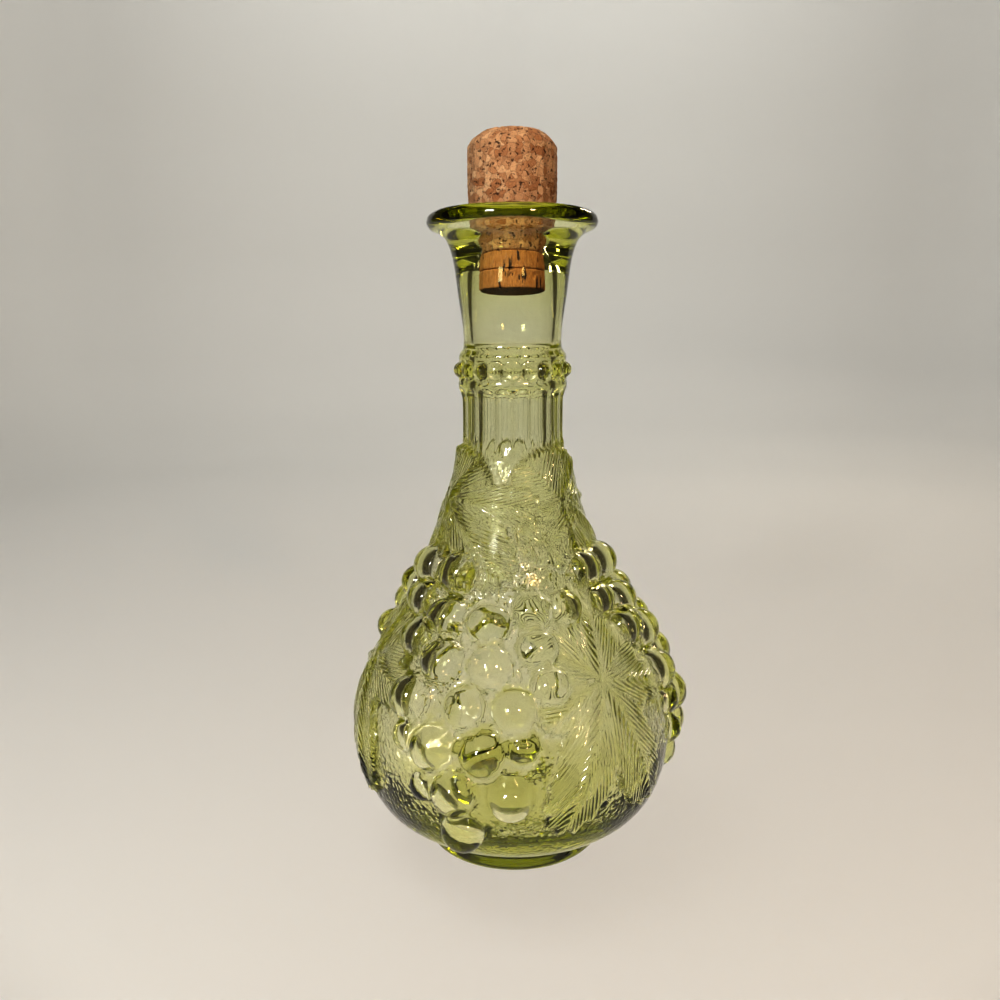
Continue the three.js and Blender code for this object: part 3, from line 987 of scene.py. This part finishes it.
@dataclass
class Stopper:
    """The cork: an agglomerated head and shank on two discs of natural cork. Sizes are in millimetres."""

    head_finish: AgglomeratedCork = field(default_factory=AgglomeratedCork)
    disc_finish: NaturalCork = field(default_factory=NaturalCork)
    columns: int = 150
    head_outline: tuple[tuple[float, float, float], ...] = (
        (0, 205.2, 2), (9, 205.2, 2), (10.7, 205.3, 0.6), (11, 206, 0.6), (11.15, 207.8, 0.6),
        (12.2, 210.4, 0.6), (13.6, 213.4, 0.6), (14.3, 217.5, 0.55), (14.7, 226, 0.55), (14.6, 236.4, 0.5),
        (14.2, 237.4, 0.45), (10, 241.2, 0.45), (9.2, 241.55, 0.45), (0, 241.6, 0.6))
    disc_radius: float = 11.1
    disc_low: float = 192.6
    disc_thickness: float = 6.2
    disc_round: float = 0.5
    disc_soft: float = 0.15
    granule: float = 2.2
    granule_rise: float = 0.16
    seam_width: float = 0.16
    pit_depth: float = 0.5
    pit_scale: float = 0.9
    pit_start: float = 0.45
    pit_span: float = 0.3
    glue_gap: float = 0.1

    def disc_outline(self, low: float) -> tuple[tuple[float, float, float], ...]:
        """Draws a disc's outline, with slightly rounded edges.

        Args:
            low: the height of its underside.

        Returns:
            Radius, height and the spacing of the rows, from the underside's middle to the top's.
        """
        high = low + self.disc_thickness
        wide = self.disc_radius
        edge = wide - self.disc_round
        soft = self.disc_soft
        return ((0, low, 1.5), (edge - 1, low, 1.0), (edge, low, 0.3), (wide - soft, low + soft, 0.2),
                (wide, low + self.disc_round, 0.3), (wide, high - self.disc_round, 0.5),
                (wide - soft, high - soft, 0.2), (edge, high, 0.3), (edge - 1, high, 1.0), (0, high, 1.5))

    def weathered(self, piece: bpy.types.Object) -> None:
        """Gives the surface its uneven granules and a few pits, always inwards.

        Args:
            piece: the cork piece.
        """
        places = [vert.co.copy() for vert in piece.data.vertices]
        normals = [vert.normal.copy() for vert in piece.data.vertices]
        moved = []
        for place, normal in zip(places, normals):
            spot = place / (self.granule * MM)
            near, next_near = noise.voronoi(spot)[0][:2]
            seam = max(0.0, self.seam_width - (next_near - near)) / self.seam_width
            pit = max(0.0, noise.noise(spot * self.pit_scale) - self.pit_start) / self.pit_span
            inwards = self.granule_rise * seam + self.pit_depth * min(pit, 1.0)
            moved.extend(place - normal * inwards * MM)
        piece.data.vertices.foreach_set("co", moved)
        piece.data.update()

    def build(self) -> list[bpy.types.Object]:
        """Makes the three pieces of cork.

        Returns:
            The head and the two discs.
        """
        disc = self.disc_finish.material()
        upper_low = self.disc_low + self.disc_thickness + self.glue_gap
        head = self.head_finish.material()
        plans = {
            CorkPiece.HEAD: ("cork_head", self.head_outline, head, "agglomerated_cork"),
            CorkPiece.UPPER_DISC: ("cork_upper_disc", self.disc_outline(upper_low), disc, "natural_cork"),
            CorkPiece.LOWER_DISC: (
                "cork_lower_disc", self.disc_outline(self.disc_low), disc, "natural_cork")}
        pieces = []
        for node, (name, outline, material, slot) in plans.items():
            shell = bmesh.new()
            curve = Outline(outline)
            radius, height, _, _ = curve.place(curve.rows())
            line = [shell.verts.new((r * MM, 0, z * MM)) for r, z in zip(radius, height)]
            spun(shell, line, self.columns)
            bmesh.ops.remove_doubles(shell, verts=shell.verts, dist=MERGE)
            bmesh.ops.recalc_face_normals(shell, faces=shell.faces)
            piece = finished(name, shell, material)
            self.weathered(piece)
            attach(piece, "root")
            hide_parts(node.value)
            pieces.append(piece)
        return pieces


@dataclass(frozen=True)
class Lamp:
    """A soft area lamp: its place, what it faces, its width, height and power, in metres and watts.

    through_glass: the glass casts no shadow in its light.
    seen_in_glass: it shows as a highlight.
    """

    name: str
    place: tuple[float, float, float]
    aim: tuple[float, float, float]
    width: float
    height: float
    power: float
    colour: str
    through_glass: bool = True
    seen_in_glass: bool = False


@dataclass
class Studio:
    """A seamless sweep of paper all round, soft lamps and the camera. Sizes are in metres."""

    paper: SweepPaper = field(default_factory=SweepPaper)
    floor_drop: float = 0.0002
    sweep_columns: int = 120
    sweep: tuple[tuple[float, float], ...] = (
        (0, 0), (0.4, 0), (1.0, 0), (1.25, 0.03), (1.45, 0.14), (1.58, 0.34), (1.62, 0.6), (1.62, 0.95))
    lamps: tuple[Lamp, ...] = (
        Lamp("front_left", (-0.50, -0.86, 0.60), (0, 0, 0.1), 0.18, 0.28, 8, "#ffffff", seen_in_glass=True),
        Lamp("front_right", (0.45, -0.85, 0.60), (0, 0, 0.1), 0.12, 0.18, 4, "#ffd6ac", seen_in_glass=True),
        Lamp("rear", (0.55, 0.80, 0.75), (0, 0, 0.12), 0.2, 0.25, 2, "#fff0e0", seen_in_glass=True),
        Lamp("overhead", (-0.45, 0.0, 1.25), (0, 0, 0.05), 0.6, 0.6, 1.2, "#ffffff", through_glass=False),
        Lamp("rear_wash", (0, 0.75, 1.4), (0, 1.62, 0.4), 0.9, 0.9, 9.8, "#ffffff"),
        Lamp("front_wash", (0, -0.75, 1.4), (0, -1.62, 0.4), 0.9, 0.9, 10, "#ffffff"))
    ambient: str = "#b8b0a4"
    ambient_strength: float = 0.06
    camera_place: tuple[float, float, float] = (0, -0.306, 0.1768)
    lens: float = 32.4
    sensor: float = 36.0
    nearest: float = 0.01
    pitch_down: float = 10.27
    yaw: float = 0.84
    roll: float = -0.32
    exposure: float = 0.1
    gamma: float = 0.78
    bounces: int = 18
    transmission_bounces: int = 16
    glossy_bounces: int = 8
    diffuse_bounces: int = 2
    noise_threshold: float = 0.07
    fewest_samples: int = 8
    blockers: bpy.types.Collection = field(init=False)

    def __post_init__(self) -> None:
        """Makes the collection of pieces that cast a shadow in every lamp's light."""
        self.blockers = bpy.data.collections.new("lamp_blockers")

    def build_sweep(self) -> None:
        """Makes the floor and backdrop as one turned sheet."""
        shell = bmesh.new()
        line = [shell.verts.new((radius, 0, height - self.floor_drop)) for radius, height in self.sweep]
        spun(shell, line, self.sweep_columns)
        bmesh.ops.remove_doubles(shell, verts=shell.verts, dist=MERGE)
        finished("sweep", shell, self.paper.material())

    def build_lamps(self) -> None:
        """Hangs the lamps and sets the room's dim light."""
        for lamp in self.lamps:
            light = bpy.data.lights.new(lamp.name, "AREA")
            light.shape = "RECTANGLE"
            light.size = lamp.width
            light.size_y = lamp.height
            light.energy = lamp.power
            light.color = linear(lamp.colour)[:3]
            holder = bpy.data.objects.new(lamp.name, light)
            holder.location = lamp.place
            beam = Vector(lamp.aim) - Vector(lamp.place)
            holder.rotation_euler = beam.to_track_quat("-Z", "Y").to_euler()
            bpy.context.scene.collection.objects.link(holder)
            holder.visible_camera = False
            holder.visible_glossy = lamp.seen_in_glass
            holder.visible_transmission = lamp.seen_in_glass
            if lamp.through_glass:
                holder.light_linking.blocker_collection = self.blockers
        world = bpy.data.worlds.new("room")
        world.use_nodes = True
        world.node_tree.nodes.clear()
        glow = add_node(world.node_tree, "ShaderNodeBackground", {
            "Color": linear(self.ambient), "Strength": self.ambient_strength})
        add_node(world.node_tree, "ShaderNodeOutputWorld", {"Surface": glow.outputs[0]})
        bpy.context.scene.world = world

    def build_camera(self) -> None:
        """Sets the camera at the photograph's viewing angle."""
        lens = bpy.data.cameras.new("camera")
        lens.lens = self.lens
        lens.sensor_width = self.sensor
        lens.clip_start = self.nearest
        camera = bpy.data.objects.new("camera", lens)
        turned = Matrix.Rotation(math.radians(self.yaw), 4, "Z")
        tilted = Matrix.Rotation(math.radians(90 - self.pitch_down), 4, "X")
        rolled = Matrix.Rotation(math.radians(self.roll), 4, "Z")
        camera.matrix_world = Matrix.Translation(self.camera_place) @ turned @ tilted @ rolled
        bpy.context.scene.collection.objects.link(camera)
        bpy.context.scene.camera = camera

    def build(self) -> None:
        """Makes the sweep, the lamps and the camera, and lets light pass through many walls of glass."""
        self.build_sweep()
        self.build_lamps()
        self.build_camera()
        scene = bpy.context.scene
        scene.view_settings.view_transform = "Standard"
        scene.view_settings.exposure = self.exposure
        scene.view_settings.gamma = self.gamma
        scene.cycles.use_adaptive_sampling = True
        scene.cycles.adaptive_threshold = self.noise_threshold
        scene.cycles.adaptive_min_samples = self.fewest_samples
        scene.cycles.max_bounces = self.bounces
        scene.cycles.transmission_bounces = self.transmission_bounces
        scene.cycles.glossy_bounces = self.glossy_bounces
        scene.cycles.diffuse_bounces = self.diffuse_bounces
        scene.cycles.caustics_refractive = False
        scene.cycles.caustics_reflective = False


def main() -> None:
    """Builds the studio, the bottle and the stopper, and reports each piece."""
    logging.basicConfig(level=logging.INFO, format="%(name)s: %(message)s")
    studio = Studio()
    studio.build()
    for assembly in (Decanter(), Stopper()):
        for piece in assembly.build():
            mesh = piece.data
            log.info("%s: %d vertices, %d faces", piece.name, len(mesh.vertices), len(mesh.polygons))
            if isinstance(assembly, Stopper):
                studio.blockers.objects.link(piece)


if __name__ == "__main__":
    main()
